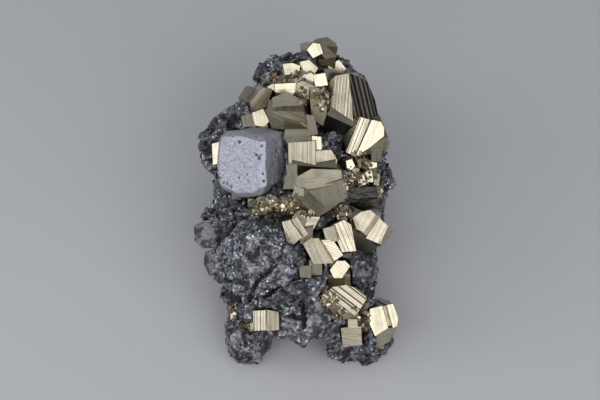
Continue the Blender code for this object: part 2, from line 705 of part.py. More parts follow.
def recentre(things):
    """Moves everything so that the middle of the base is at the origin."""
    corners = [vertex.co for thing in things for vertex in thing.data.vertices]
    middle = Vector((0.0, 0.0, 0.0))
    for axis in (0, 1):
        values = [corner[axis] for corner in corners]
        middle[axis] = (min(values) + max(values)) / 2
    for thing in things:
        thing.data.transform(Matrix.Translation(-middle))


def build():
    clear_scene()
    galena = build_galena()
    pyrite = build_pyrite()
    quartz = build_quartz()
    sphalerite = build_sphalerite()
    etched = lump_mass("etched_galena_crystal", ETCHED_LUMPS, 0.0, ETCHED_TRIANGLES)
    keep_largest(combine(etched, crystal_hollows(), "DIFFERENCE"))
    matrix = build_matrix()
    hollows = crystal_hollows()
    hollows += [crystal_body("hollow", face, GAP, FACE_CLEARANCE) for face in SPHALERITE]
    hollows.append(lump_mass("hollow", ETCHED_LUMPS, ETCHED_CLEARANCE, ETCHED_TRIANGLES // 2))
    hollows.append(ground_block())
    keep_largest(combine(matrix, hollows, "DIFFERENCE"))
    everything = [galena, sphalerite, etched, matrix] + pyrite + quartz
    give_material([matrix], "matrix")
    give_material([galena], "galena")
    give_material([etched], "etched_galena")
    give_material(pyrite, "pyrite")
    give_material(quartz, "quartz")
    give_material([sphalerite], "sphalerite")
    recentre(everything)


build()
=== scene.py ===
"""Galena specimen: the finished look of every mineral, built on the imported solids.

The matrix gets its crust, pits and glinting grains, the galena crystal its blunt edges and pits, the
pyrite crystals their growth lines, and the quartz and sphalerite their clear and dark glassy bodies.
Places that the picture gives are written in its pixels and carried to the solids along the line of sight.
Lengths are in metres unless a name says otherwise.
"""

import math
import random
from collections import namedtuple

import bmesh
import bpy
from bpy.props import FloatProperty, FloatVectorProperty, IntProperty, PointerProperty
from mathutils import Matrix, Vector, noise
from mathutils.bvhtree import BVHTree


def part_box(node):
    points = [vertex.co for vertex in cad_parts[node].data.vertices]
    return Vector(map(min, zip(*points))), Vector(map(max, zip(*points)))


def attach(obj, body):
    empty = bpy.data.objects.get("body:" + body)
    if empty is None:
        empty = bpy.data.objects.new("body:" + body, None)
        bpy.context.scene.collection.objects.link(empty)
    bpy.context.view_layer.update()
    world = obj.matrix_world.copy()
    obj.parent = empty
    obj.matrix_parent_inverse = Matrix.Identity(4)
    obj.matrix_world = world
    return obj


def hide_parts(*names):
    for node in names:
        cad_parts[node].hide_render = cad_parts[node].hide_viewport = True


bl_info = {
    "name": "Galena Specimen",
    "version": (1, 0, 0),
    "blender": (4, 5, 0),
    "location": "View3D > Sidebar > Specimen",
    "description": "Finishes a galena and pyrite specimen on its packed solids",
    "category": "Object",
}

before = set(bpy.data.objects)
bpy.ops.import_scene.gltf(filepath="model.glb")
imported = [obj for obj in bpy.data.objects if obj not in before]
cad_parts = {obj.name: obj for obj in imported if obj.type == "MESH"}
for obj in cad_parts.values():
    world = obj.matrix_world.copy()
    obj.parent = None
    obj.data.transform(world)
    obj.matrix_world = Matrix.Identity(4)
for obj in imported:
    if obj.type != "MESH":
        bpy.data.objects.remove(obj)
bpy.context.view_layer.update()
MM = 0.001
MERGE_DISTANCE = 0.001 * MM
FLAT_ANGLE = math.radians(0.8)
FLOOR_GAP = 0.03 * MM

# Line of sight of the picture. The galena crystal ties it to the solids.
SIGHT_ELEVATION = math.radians(55.0)
SIGHT_DISTANCE = 323.4 * MM
SIGHT_FOCAL_PIXELS = 1540.0
SIGHT_MIDDLE = (300.0, 200.0)
PICTURE_WIDTH = 600.0
SENSOR_WIDTH = 36.0
TO_RIGHT = Vector((1.0, 0.0, 0.0))
TO_TOP = Vector((0.0, math.sin(SIGHT_ELEVATION), math.cos(SIGHT_ELEVATION)))
TO_VIEWER = Vector((0.0, -math.cos(SIGHT_ELEVATION), math.sin(SIGHT_ELEVATION)))
GALENA_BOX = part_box("galena_crystal")
FROM_GALENA = Vector((9.56, -1.9, -11.14)) * MM
SIGHT_TARGET = (Vector(GALENA_BOX[0]) + Vector(GALENA_BOX[1])) / 2 + FROM_GALENA

LIGHT_DISTANCE = 450 * MM
# Soft lights: name, direction from the specimen, width, share of the power
SOFT_LIGHTS = (
    ("right", (0.5, -0.62, 0.6), 320 * MM, 0.34),
    ("left", (-0.45, -0.55, 0.68), 265 * MM, 0.2),
    ("front", (0.02, -0.86, 0.5), 230 * MM, 0.14),
    ("far_left", (-0.9, -0.12, 0.4), 260 * MM, 0.26),
    ("top", (0.0, 0.1, 1.0), 200 * MM, 0.06),
)

PYRITE_NODES = [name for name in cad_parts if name.startswith("pyrite")]
CRYSTAL_NODES = [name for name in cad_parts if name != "matrix"]

# Pits in the galena crystal: pixel, radius in pixels, depth in millimetres
GALENA_PITS = (
    ((239, 142), 2.2, 0.45), ((235, 144), 1.2, 0.3), ((233, 136), 1.2, 0.3), ((259, 158), 2.6, 0.5),
    ((256, 155), 1.8, 0.45), ((254, 153), 1.0, 0.3), ((261, 155), 1.4, 0.35), ((247, 175), 1.0, 0.35),
    ((239, 178), 1.3, 0.3), ((248, 181), 1.4, 0.25), ((220, 178), 1.3, 0.35), ((277, 151), 2.4, 0.45),
    ((276, 156), 1.5, 0.3), ((264, 181), 1.8, 0.35), ((263, 174), 1.3, 0.3), ((286, 146), 2.2, 0.4),
    ((287, 166), 2.4, 0.45), ((259, 140), 1.6, 0.3), ((262, 146), 1.5, 0.3), ((256, 136), 1.3, 0.25),
    ((231, 187), 1.8, 0.4), ((227, 184), 1.6, 0.4), ((223, 183), 1.4, 0.3), ((243, 160), 0.9, 0.2),
    ((228, 156), 1.0, 0.15), ((250, 168), 0.9, 0.2), ((224, 170), 1.0, 0.15),
)
# Patches of fine pyrite: middle pixel, half-width, half-height, how crowded
DRUSE_PATCHES = (
    ((322, 98), 9, 11, 1.0), ((278, 205), 22, 9, 1.0), ((262, 215), 10, 9, 0.7), ((342, 212), 10, 8, 1.0),
    ((330, 301), 9, 8, 1.0), ((338, 313), 8, 7, 0.7), ((364, 318), 5, 13, 0.9),
    ((349, 182), 6, 11, 0.8), ((362, 172), 14, 13, 0.5), ((378, 190), 4, 9, 0.7), ((300, 76), 8, 5, 0.6),
    ((276, 79), 9, 3, 0.8), ((303, 96), 7, 9, 0.6), ((296, 262), 5, 6, 0.4), ((232, 312), 6, 6, 0.3),
    ((361, 156), 11, 5, 0.5), ((306, 214), 8, 5, 0.6), ((246, 327), 5, 6, 0.4),
)
# Crust with many bright silver facets: middle pixel, half-width, half-height, strength
SILVER_PATCHES = (
    ((234, 250), 12, 14, 1.0), ((227, 269), 8, 10, 0.8), ((258, 231), 20, 9, 0.9), ((279, 242), 8, 9, 0.6),
    ((210, 222), 10, 9, 1.0), ((243, 213), 12, 6, 0.8), ((268, 290), 15, 9, 0.9), ((291, 303), 13, 9, 0.9),
    ((281, 59), 12, 6, 1.0), ((207, 138), 7, 5, 1.0), ((250, 347), 13, 7, 0.9), ((223, 200), 9, 8, 0.8),
    ((303, 283), 14, 7, 0.6), ((233, 325), 7, 9, 0.5), ((330, 322), 7, 9, 0.5), ((366, 345), 13, 6, 0.4),
)
# Paler, pinkish crust, written in the same way
PALE_PATCHES = (
    ((316, 324), 13, 12, 1.0), ((292, 328), 11, 8, 0.9), ((322, 307), 10, 8, 0.7), ((276, 272), 18, 9, 0.5),
    ((366, 268), 12, 17, 0.5), ((277, 71), 15, 8, 0.6), ((241, 338), 9, 6, 0.6), ((247, 268), 12, 7, 0.5),
)

# Growth lines of the larger pyrite faces: the pixel at a face's middle, the lines' direction across and
# down the picture, rib width, groove width and rib height in millimetres, rib tone and groove tone.
# A tone of 0 is bright, 1 dull and 2 black with tarnish. The tones paint each face's light and shade along
# with its tarnish: shaded faces and undersides get dark tones, and grooves darker tones than their ribs.
Lines = namedtuple("Lines", "seen direction rib groove relief tone groove_tone")
GROWTH_LINES = [Lines(*row) for row in (
    ((344, 97), (-1, 12), 0.42, 0.16, 0.06, 0.7, 1.4),
    ((362, 101), (3, 12), 0.75, 0.6, 0.1, 1.25, 1.98),
    ((329, 97), (-1, 8), 0.4, 0.2, 0.05, 1.0, 1.6),
    ((338, 126), (6, 1), 2.0, 0.1, 0.03, 1.7, 1.85),
    ((358, 136), (-14, 36), 0.45, 0.16, 0.06, 0.4, 1.5),
    ((363, 137), (-14, 36), 1.2, 0.1, 0.03, 1.25, 1.4),
    ((370, 138), (-14, 36), 2.6, 0.08, 0.02, 0.36, 0.7),
    ((373, 147), (15, -12), 2.0, 0.1, 0.03, 0.9, 1.1),
    ((376, 155), (0, 1), 1.0, 0.2, 0.05, 1.4, 1.6),
    ((385, 146), (0, 1), 1.0, 0.2, 0.05, 1.0, 1.3),
    ((318, 180), (8, -1), 3.0, 0.06, 0.015, 0.75, 0.9),
    ((327, 196), (3, 12), 3.0, 0.06, 0.015, 0.85, 1.0),
    ((302, 154), (0, 1), 0.9, 0.16, 0.06, 0.75, 1.35),
    ((298, 140), (1, 0), 1.4, 0.2, 0.06, 0.6, 1.1),
    ((297, 133), (1, 0), 1.0, 0.25, 0.06, 0.8, 1.2),
    ((327, 158), (0, 1), 2.4, 0.08, 0.02, 0.8, 0.95),
    ((314, 170), (1, 0), 2.0, 0.1, 0.02, 1.5, 1.7),
    ((286, 101), (6, 1), 2.6, 0.1, 0.03, 0.95, 1.15),
    ((286, 121), (10, 4), 1.6, 0.3, 0.08, 0.95, 1.35),
    ((286, 89), (1, 0), 0.7, 0.14, 0.04, 0.2, 0.7),
    ((250, 95), (-9, 13), 2.2, 0.1, 0.03, 1.0, 1.15),
    ((260, 101), (-9, 13), 1.6, 0.15, 0.04, 0.9, 1.2),
    ((260, 118), (1, 4), 2.0, 0.08, 0.02, 0.35, 0.7),
    ((328, 51), (3, 1), 1.4, 0.15, 0.05, 1.1, 1.4),
    ((363, 219), (-11, 20), 1.6, 0.06, 0.02, 0.65, 1.0),
    ((371, 223), (-11, 20), 1.6, 0.06, 0.02, 1.15, 1.2),
    ((379, 232), (-11, 20), 0.9, 0.1, 0.04, 0.6, 1.1),
    ((366, 244), (3, 1), 2.4, 0.08, 0.02, 1.5, 1.6),
    ((345, 236), (5, 12), 0.8, 0.16, 0.07, 0.55, 1.35),
    ((330, 234), (5, 12), 1.2, 0.1, 0.03, 0.5, 0.8),
    ((316, 251), (6, 14), 1.5, 0.16, 0.06, 0.45, 0.95),
    ((332, 251), (9, 3), 0.8, 0.16, 0.06, 0.45, 0.9),
    ((340, 269), (6, 7), 0.8, 0.12, 0.04, 0.25, 0.7),
    ((291, 232), (6, 12), 1.6, 0.14, 0.05, 0.4, 0.85),
    ((299, 228), (6, 12), 1.0, 0.2, 0.06, 0.7, 1.1),
    ((348, 297), (26, 20), 0.8, 0.34, 0.1, 0.95, 1.8),
    ((349, 313), (26, 20), 0.5, 0.3, 0.08, 0.3, 1.1),
    ((378, 320), (5, 22), 3.0, 0.06, 0.015, 0.45, 0.75),
    ((387, 318), (5, 22), 1.6, 0.06, 0.02, 1.2, 1.3),
    ((393, 315), (5, 22), 2.0, 0.06, 0.02, 0.45, 0.75),
    ((386, 337), (20, -9), 3.0, 0.06, 0.02, 0.7, 0.9),
    ((373, 344), (20, -5), 1.2, 0.12, 0.04, 0.8, 1.1),
    ((364, 320), (1, 5), 0.8, 0.3, 0.08, 0.95, 1.6),
    ((352, 336), (8, 1), 1.0, 0.2, 0.06, 0.5, 1.0),
    ((261, 320), (0, 1), 0.6, 0.18, 0.08, 0.45, 1.4),
    ((273, 321), (0, 1), 0.8, 0.2, 0.06, 0.85, 1.2),
    ((236, 194), (1, 1), 1.0, 0.1, 0.02, 0.7, 1.0),
)]
# How far from its pixel in the table a face's middle may show, in pixels
LINES_REACH = 4.5
# How squarely a face has to meet the line of sight to take its lines, or its brightness, from the picture
LEAST_TOWARDS = 0.15
PAINTED_LIT_TOWARDS = 0.7
# Small faces painted bright as lit faces, by the pixel at their middle
BRIGHT_FACES = (
    (315, 50), (337, 69), (321, 80), (307, 78), (291, 69), (315, 91), (318, 142), (362, 163), (350, 164),
    (373, 167), (370, 176), (361, 181), (356, 173), (292, 171), (249, 327), (235, 314), (216, 153),
    (236, 197),
)
# Deep clefts in the rough masses, darkened by painted shade: start and end pixel, half-width in pixels,
# depth in millimetres
CLEFTS = (
    ((233, 208), (236, 222), 3.0, 1.2), ((236, 222), (219, 240), 3.5, 1.4),
    ((275, 265), (256, 284), 3.0, 1.3), ((256, 284), (249, 300), 3.5, 1.3),
    ((302, 302), (304, 326), 3.5, 1.6), ((281, 292), (291, 299), 4.0, 1.3),
    ((300, 318), (292, 317), 3.0, 1.0), ((225, 281), (247, 285), 3.0, 1.0),
    ((238, 197), (248, 205), 4.0, 1.4), ((222, 294), (240, 300), 3.0, 0.8),
    ((244, 333), (246, 345), 2.5, 0.8), ((309, 345), (316, 337), 2.5, 0.8),
)

# Sizes of the forms in the rough masses, and the room that they leave around the crystals
WIDE_LUMP = 3.1 * MM
NARROW_LUMP = 1.7 * MM
WIDE_KNOB = 1.35 * MM
NARROW_KNOB = 0.7 * MM
KNOB_SHIFT = Vector((7, 3, 5)) * MM
PIT_WIDTH = 0.8 * MM
CLUSTER_WIDTH = 3.4 * MM
CLUSTER_SHIFT = Vector((5, 1, 8))
CRYSTAL_REACH = 1.6 * MM
CRYSTAL_ROOM = (0.45 * MM, 1.5 * MM)
GRAIN_FREE_HEIGHT = (0.3 * MM, 0.9 * MM)
# Sizes of the forms in the galena crystal, and the share of its radius in the table that a pit takes
GALENA_WAVE = 2.6 * MM
GALENA_RIPPLE = 0.9 * MM
GALENA_GRAIN = 0.35 * MM
GALENA_STEP = 1.5 * MM
SMALL_PIT = 0.4 * MM
RAGGED_EDGE = 0.25 * MM
PIT_RADIUS_SHARE = 0.78
ETCHED_PIT_SHARE = 0.7
SPHALERITE_ROUNDING = 0.12 * MM
GROUND_SKIN = 0.5 * MM
FLOOR_REACH = 1.5
# Small crystals: sizes, crowding and the seeds of their places
SMALLEST_GRAIN = 0.12 * MM
ETCHED_GRAIN_SIZES = (0.1 * MM, 0.42 * MM)
ETCHED_GRAINS_PER_MM2 = 1.6
SMALLEST_PYRITE = 0.25 * MM
GRAIN_SEED = 5
ETCHED_SEED = 6
DRUSE_SEED = 8
FLAT_CUBE = (1.0, 0.85, 0.6)
OCTAHEDRON_TIP = 0.62
# A twelve-sided pyrite crystal: the two parts of a face's direction, and its distance from the middle
PYRITE_LEAN = 0.894
PYRITE_SLOPE = 0.447
PYRITE_REACH = 0.53
# Moves each face to its own place in the growth coordinates
GROWTH_SHIFT = 3.7
# Ribs and tones of the faces that no table names
NARROWEST_STRIP = 0.08 * MM
PLAIN_GROOVE = 0.12
PLAIN_RELIEF = 0.03
PAINTED_LIT_TONES = (0.15, 0.45)
PLAIN_TONES = (0.4, 1.0)
SMALL_FACE_TONES = (0.4, 1.1)
# Painted shade: a groove is this much darker in tone than its rib.
GROOVE_SHADING = 0.35
TONE_SPREAD = 0.12
RIB_SEED = 21

# Colours that no setting changes
SILVER_FACET = (0.64, 0.66, 0.73)
GALENA_FACET = (0.62, 0.63, 0.72)
# Painted shade in the galena crystal's pits
GALENA_PIT_SHADE = (0.08, 0.08, 0.1)
PALE_CRUST = (0.62, 0.58, 0.6)
CRUST_STAIN = (0.05, 0.042, 0.036)
ETCHED_STAIN = (0.075, 0.07, 0.062)
# Painted shade along the pyrite growth lines
PYRITE_LINE_SHADE = (0.22, 0.19, 0.13)
PYRITE_STAIN = (0.15, 0.12, 0.07)
QUARTZ_CLOUD = (0.05, 0.045, 0.045)
SKY = (0.86, 0.9, 1.0, 1.0)
# Looks of the small crystals: dark colour, light colour, least and greatest roughness
MATRIX_GRAIN = ((0.035, 0.036, 0.042), (0.58, 0.59, 0.65), (0.16, 0.5))
ETCHED_GRAIN = ((0.09, 0.092, 0.1), (0.68, 0.69, 0.76), (0.14, 0.45))
FINE_PYRITE = ((0.24, 0.2, 0.125), (0.83, 0.76, 0.58), (0.14, 0.4))
QUARTZ_IOR = 1.545
SPHALERITE_IOR = 1.75


def amount(name, description, default, low=0.0, high=10.0, **kind):
    return FloatProperty(name=name, description=description, default=default, min=low, max=high, **kind)


def millimetres(name, description, default, low=0.0, high=10.0):
    """A length property, typed in metres like every length here."""
    return amount(name, description, default * MM, low * MM, high * MM, precision=6, unit="LENGTH")


def colour(name, description, default):
    return FloatVectorProperty(
        name=name, description=description, default=default, size=3, min=0.0, max=1.0, subtype="COLOR",
    )


class SpecimenStageSettings(bpy.types.PropertyGroup):
    floor_colour: colour("Floor", "Colour of the floor", (0.66, 0.67, 0.685))
    power: amount("Lights", "Power of all the soft lights together", 1.5, high=100.0)
    sky: amount("Surroundings", "Strength of the even light", 0.24)


class SpecimenMatrixSettings(bpy.types.PropertyGroup):
    skin: millimetres("Skin fineness", "Size of the smallest form in the crust", 0.38, 0.1, 2.0)
    knobs: millimetres("Knobs", "Height of the knobs in the crust", 0.55, 0.0, 2.0)
    pits: millimetres("Pits", "Depth of the small pits", 0.35, 0.0, 2.0)
    grain_size: millimetres("Grains", "Size of the largest glinting grain", 0.55, 0.05, 2.0)
    grains_per_mm2: amount("Grain density", "Grains on each square millimetre", 1.3, high=4.0)
    # The dark colour is painted shade in the hollows and clefts, and the light one lies on the knobs.
    dark: colour("Dark crust", "Colour of the crust in its hollows", (0.034, 0.034, 0.04))
    light: colour("Light crust", "Colour of the crust on its knobs", (0.36, 0.358, 0.375))


class SpecimenEtchedSettings(bpy.types.PropertyGroup):
    skin: millimetres("Skin fineness", "Size of the smallest form in the lump", 0.26, 0.1, 2.0)
    knobs: millimetres("Knobs", "Height of the corroded knobs", 0.5, 0.0, 2.0)
    # The dark colour is painted shade in the corroded pits, and the light one lies on the knobs.
    dark: colour("Dark galena", "Colour in the corroded pits", (0.05, 0.051, 0.06))
    light: colour("Light galena", "Colour on the knobs", (0.56, 0.56, 0.6))


class SpecimenGalenaSettings(bpy.types.PropertyGroup):
    skin: millimetres("Skin fineness", "Size of the smallest form in the crystal", 0.17, 0.1, 1.0)
    rounding: IntProperty(
        name="Rounding", description="How far the edges are worn", default=2, min=0, max=40
    )
    body: colour("Galena", "Colour of the galena", (0.56, 0.565, 0.65))
    tarnish: colour("Tarnish", "Colour of the dull specks", (0.24, 0.245, 0.3))


class SpecimenPyriteSettings(bpy.types.PropertyGroup):
    widest_rib: millimetres("Widest rib", "Width of the widest growth rib", 1.5, 0.1, 5.0)
    smallest_face: amount("Smallest face", "Area in mm2 of the smallest face with ribs", 2.0, 0.1, 50.0)
    bright: colour("Bright pyrite", "Colour of the clean faces", (0.83, 0.76, 0.58))
    # The dull and tarnish colours also paint shade on faces with darker tones.
    dull: colour("Dull pyrite", "Colour of the dull faces", (0.44, 0.4, 0.3))
    tarnish: colour("Tarnish", "Colour of the tarnished faces", (0.03, 0.032, 0.035))


class SpecimenDruseSettings(bpy.types.PropertyGroup):
    size: millimetres("Size", "Size of the largest small crystal", 1.0, 0.1, 2.0)
    per_mm2: amount("Density", "Small crystals on each square millimetre", 5.0, high=9.0)


class SpecimenQuartzSettings(bpy.types.PropertyGroup):
    body: colour("Quartz", "Tint of the quartz", (0.6, 0.58, 0.6))
    rounding: millimetres("Rounding", "Width of the worn edges", 0.35, 0.0, 1.0)


class SpecimenSphaleriteSettings(bpy.types.PropertyGroup):
    dark: colour("Dark sphalerite", "Colour of the body", (0.008, 0.007, 0.005))
    glow: colour("Brown sphalerite", "Colour where light passes", (0.09, 0.06, 0.014))


# The line of sight


def picture_place(point):
    """The pixel at which a point shows."""
    offset = point - SIGHT_TARGET
    scale = SIGHT_FOCAL_PIXELS / (SIGHT_DISTANCE - offset.dot(TO_VIEWER))
    return Vector((
        SIGHT_MIDDLE[0] + offset.dot(TO_RIGHT) * scale,
        SIGHT_MIDDLE[1] - offset.dot(TO_TOP) * scale,
    ))


# Shapes


def node_mesh(*names):
    """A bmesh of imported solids, with their loose triangles joined."""
    bm = bmesh.new()
    for name in names:
        bm.from_mesh(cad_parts[name].data)
    bmesh.ops.remove_doubles(bm, verts=bm.verts[:], dist=MERGE_DISTANCE)
    return bm


def flat_faced_mesh(name):
    """A bmesh of a packed crystal, with one polygon for each flat face."""
    bm = node_mesh(name)
    bmesh.ops.dissolve_limit(bm, angle_limit=FLAT_ANGLE, verts=bm.verts[:], edges=bm.edges[:])
    return bm


def mesh_object(name, bm):
    """An object that holds a bmesh's shape, not yet in the scene."""
    mesh = bpy.data.meshes.new(name)
    bm.to_mesh(mesh)
    bm.free()
    return bpy.data.objects.new(name, mesh)


def new_piece(name, bm):
    piece = mesh_object(name, bm)
    attributes = piece.data.attributes
    if "custom_normal" in attributes:
        attributes.remove(attributes["custom_normal"])
    bpy.context.scene.collection.objects.link(piece)
    return piece


def bake_modifiers(piece):
    bpy.context.view_layer.update()
    graph = bpy.context.evaluated_depsgraph_get()
    mesh = bpy.data.meshes.new_from_object(piece.evaluated_get(graph))
    piece.modifiers.clear()
    piece.data = mesh
    return piece


def remesh(piece, fineness):
    """Gives a piece an even skin of small faces."""
    modifier = piece.modifiers.new("even skin", "REMESH")
    modifier.mode = "VOXEL"
    modifier.voxel_size = fineness
    return bake_modifiers(piece)


def solids_tree(names):
    """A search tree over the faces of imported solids."""
    joined = bmesh.new()
    for name in names:
        joined.from_mesh(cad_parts[name].data)
    tree = BVHTree.FromBMesh(joined)
    joined.free()
    return tree


def set_values(piece, name, values):
    """Stores one number per point on a piece."""
    attribute = piece.data.attributes.new(name, "FLOAT", "POINT")
    attribute.data.foreach_set("value", values)


def finish_piece(piece, material, replaced=()):
    piece.data.materials.clear()
    piece.data.materials.append(material)
    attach(piece, "root")
    for name in replaced:
        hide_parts(name)
    return piece


def shade(piece, smooth):
    piece.data.polygons.foreach_set("use_smooth", [smooth] * len(piece.data.polygons))
    return piece


def smooth_step(low, high, value):
    share = min(max((value - low) / (high - low), 0.0), 1.0)
    return share * share * (3.0 - 2.0 * share)


def cell_height(place, scale):
    """A rounded knob in each cell of a random pattern: 1 at its top, about 0 in the grooves."""
    near = noise.voronoi(place / scale)[0]
    return 1.0 - min(near[0] * 1.5, 1.0) ** 2


def cleft_depth(place):
    """How deep the clefts of the picture cut a rough mass at a point."""
    pixel = picture_place(place)
    deepest = 0.0
    for start, end, width, depth in CLEFTS:
        first = Vector(start)
        run = Vector(end) - first
        share = min(max((pixel - first).dot(run) / run.length_squared, 0.0), 1.0)
        away = (pixel - first - run * share).length / width
        deepest = max(deepest, depth * MM * (1.0 - smooth_step(0.3, 1.0, away)))
    return deepest


def in_patches(place, patches):
    """How strongly a point lies in a table's patches of the picture: 0 outside them."""
    pixel = picture_place(place)
    best = 0.0
    for middle, half_width, half_height, crowd in patches:
        across = (pixel.x - middle[0]) / half_width
        down = (pixel.y - middle[1]) / half_height
        best = max(best, crowd * (1.0 - smooth_step(0.7, 1.2, math.hypot(across, down))))
    return best


def crust_height(place, knobs, pits):
    """How far lumps, knobs and pits raise or sink a rough mass at a point."""
    lumps = noise.noise(place / WIDE_LUMP) * 0.9 + noise.noise(place / NARROW_LUMP) * 0.6
    knob = cell_height(place, WIDE_KNOB) * 0.8 + cell_height(place + KNOB_SHIFT, NARROW_KNOB) * 0.5
    pit = max(0.0, noise.noise(place / PIT_WIDTH) - 0.1) * 2.4
    return knobs * (lumps + knob - 0.75) - pits * pit


def roughen(piece, knobs, pits, crystals):
    """Works knobs, pits and clefts into a rough mass, and notes where it is high, glinting or pale."""
    mesh = piece.data
    normals = [vertex.normal.copy() for vertex in mesh.vertices]
    highs, glints, pales = [], [], []
    for vertex, normal in zip(mesh.vertices, normals):
        place = vertex.co.copy()
        hit = crystals.find_nearest(place, CRYSTAL_REACH)
        room = 1.0 if hit[0] is None else smooth_step(*CRYSTAL_ROOM, hit[3])
        faces_viewer = smooth_step(-0.2, 0.3, normal.dot(TO_VIEWER))
        height = crust_height(place, knobs, pits)
        height -= cleft_depth(place) * faces_viewer
        vertex.co = place + normal * min(height * (0.25 + 0.75 * room), knobs)
        vertex.co.z = max(vertex.co.z, FLOOR_GAP)
        # The height is kept so that the material can paint shade into the hollows and clefts.
        highs.append(min(max(0.5 + height / (2.2 * knobs), 0.0), 1.0))
        cluster = smooth_step(0.02, 0.3, noise.noise(place / CLUSTER_WIDTH + CLUSTER_SHIFT))
        silver = in_patches(place, SILVER_PATCHES) * faces_viewer
        above_floor = smooth_step(*GRAIN_FREE_HEIGHT, place.z)
        glints.append((0.2 + 1.2 * cluster + 1.8 * silver) * (0.3 + 0.7 * room) * above_floor)
        pales.append(in_patches(place, PALE_PATCHES) * faces_viewer)
    for name, values in (("high", highs), ("glint", glints), ("pale", pales)):
        set_values(piece, name, values)
    mesh.update()


def rough_mass(node, name, settings, pits):
    """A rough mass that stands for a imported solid, calmer where other crystals are near."""
    piece = remesh(new_piece(name, node_mesh(node)), settings.skin)
    others = [other for other in CRYSTAL_NODES if other != node]
    roughen(piece, settings.knobs, pits, solids_tree(others))
    return shade(piece, True)


# Nodes


def set_input(socket, value):
    """Links an output to an input, or puts a plain value on it."""
    if isinstance(value, bpy.types.NodeSocket):
        socket.id_data.links.new(value, socket)
    else:
        socket.default_value = value


def fill_inputs(node, **values):
    """Sets a node's inputs by name, or by number written as i0, i1 and so on."""
    for key, value in values.items():
        numbered = key[0] == "i" and key[1:].isdigit()
        set_input(node.inputs[int(key[1:]) if numbered else key.replace("_", " ")], value)
    return node


def add_node(tree, kind, **values):
    return fill_inputs(tree.nodes.new(kind), **values)


def math_node(operation, *values, kind="ShaderNodeMath"):
    """A Math or Vector Math node. The first input is a socket, and the others are values or sockets."""
    made = values[0].id_data.nodes.new(kind)
    made.operation = operation
    for socket, value in zip(made.inputs, values):
        set_input(socket, value)
    return made.outputs[0]


def blend_colours(share, first, second):
    """A colour Mix node. The share is a socket, and each colour is a value or a socket."""
    made = share.id_data.nodes.new("ShaderNodeMix")
    made.data_type = "RGBA"
    sockets = bpy.types.NodeSocket
    first, second = (item if isinstance(item, sockets) else (*item, 1.0) for item in (first, second))
    return fill_inputs(made, i0=share, i6=first, i7=second).outputs[2]


def remap(value, low, high, to_low=0.0, to_high=1.0):
    """A value's range stretched onto another range, and kept inside it."""
    return add_node(
        value.id_data, "ShaderNodeMapRange", Value=value,
        From_Min=low, From_Max=high, To_Min=to_low, To_Max=to_high,
    ).outputs["Result"]


# Scattered small crystals


def grain_shapes(name, makers):
    """A hidden collection of small crystals to scatter."""
    collection = bpy.data.collections.new(name)
    for index, maker in enumerate(makers):
        bm = bmesh.new()
        maker(bm)
        collection.objects.link(mesh_object(f"{name}_{index}", bm))
    return collection


def cube_crystal(bm):
    bmesh.ops.create_cube(bm, size=1.0)


def flat_cube_crystal(bm):
    bmesh.ops.create_cube(bm, size=1.0)
    bmesh.ops.scale(bm, vec=FLAT_CUBE, verts=bm.verts[:])


def octahedron_crystal(bm):
    tip = OCTAHEDRON_TIP
    bmesh.ops.create_cone(bm, segments=4, radius1=tip, radius2=0.0, depth=tip, cap_ends=True)
    bmesh.ops.translate(bm, vec=(0.0, 0.0, tip / 2), verts=bm.verts[:])
    base = [face for face in bm.faces if face.normal.z < -0.9]
    middle = bmesh.ops.poke(bm, faces=base)["verts"]
    bmesh.ops.translate(bm, vec=(0.0, 0.0, -tip), verts=middle)


def five_sided_crystal(bm):
    """A pyrite crystal: a cube with each face split and raised along its middle."""
    bmesh.ops.create_cube(bm, size=1.0)
    for axis in range(3):
        for side in (-1.0, 1.0):
            outward = Vector((0.0, 0.0, 0.0))
            outward[axis] = side * PYRITE_LEAN
            for sign in (-1.0, 1.0):
                outward[(axis + 1) % 3] = PYRITE_SLOPE * sign
                cut = bmesh.ops.bisect_plane(
                    bm, geom=bm.verts[:] + bm.edges[:] + bm.faces[:], dist=1e-5,
                    plane_co=outward * PYRITE_REACH, plane_no=outward, clear_outer=True,
                )
                rim = [item for item in cut["geom_cut"] if isinstance(item, bmesh.types.BMEdge)]
                if rim:
                    bmesh.ops.edgeloop_fill(bm, edges=rim)
    bmesh.ops.recalc_face_normals(bm, faces=bm.faces[:])


